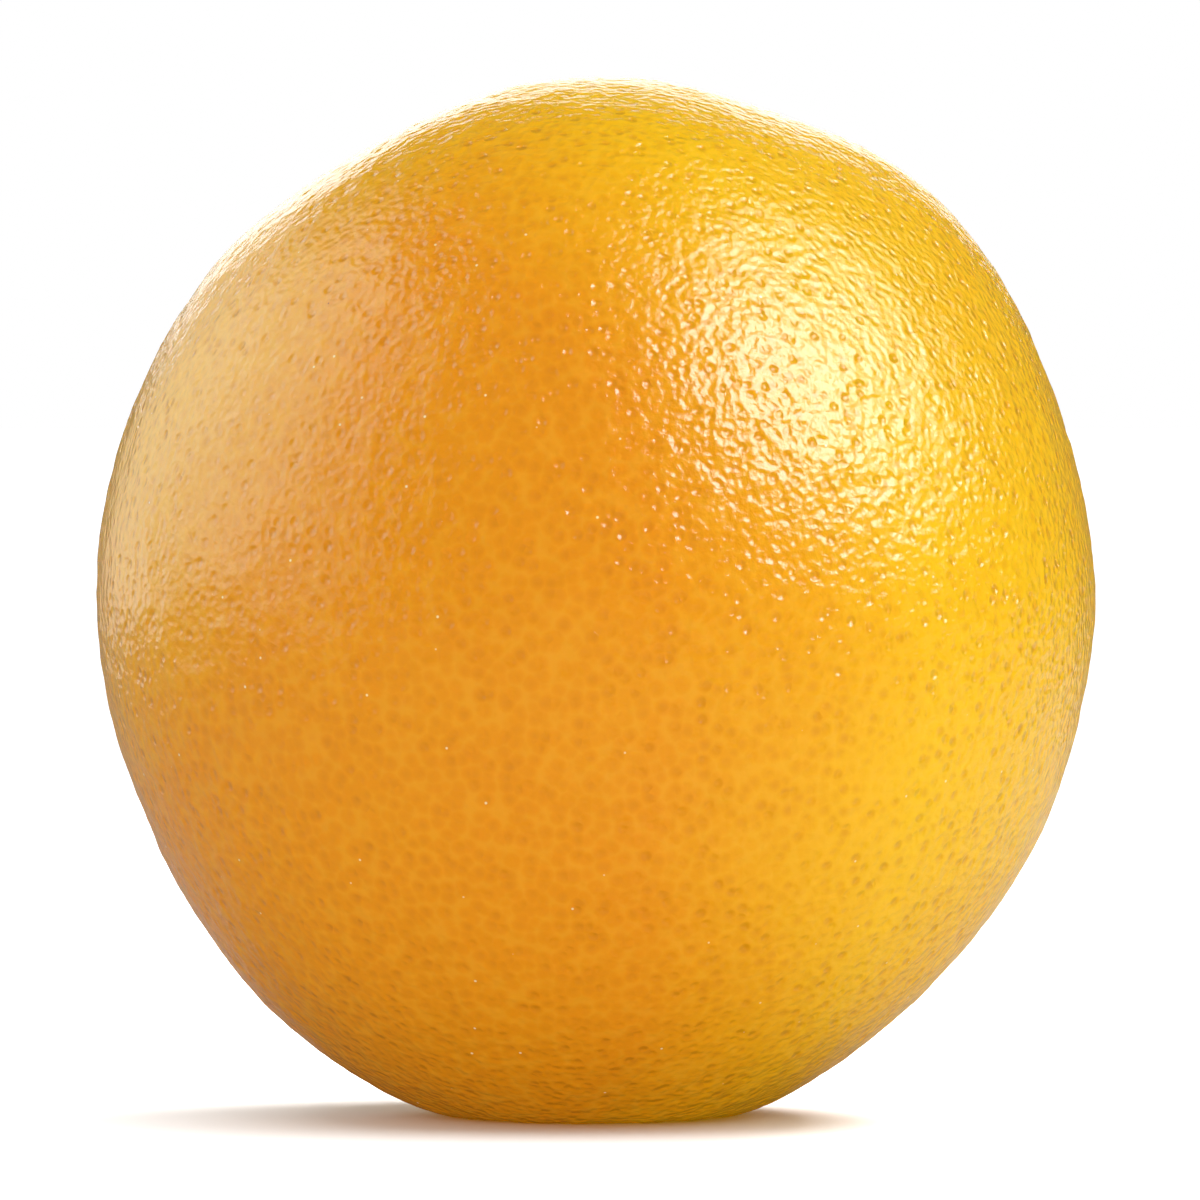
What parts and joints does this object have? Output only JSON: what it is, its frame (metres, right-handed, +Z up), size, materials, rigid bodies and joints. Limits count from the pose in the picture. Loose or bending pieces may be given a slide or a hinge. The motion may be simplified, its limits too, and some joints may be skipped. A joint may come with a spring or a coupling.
{
  "type": "orange",
  "caption": "Whole fresh orange, nearly round and slightly taller than wide, standing on a small flat ring at its stem end, with pitted glossy peel.",
  "frame": {"origin": "middle of the bounding box at its bottom, on the surface the fruit rests on", "axes": "+Z up from the stem end to the crown, -Y the front, +X to the right as seen from the front"},
  "size_m": [0.078, 0.0775, 0.081],
  "materials": {
    "peel": "waxed orange peel: deep yellow-orange, pitted with oil glands about 1 mm apart, soft gloss"
  },
  "bodies": {
    "root": {"orange": "peel"}
  },
  "joints": []
}
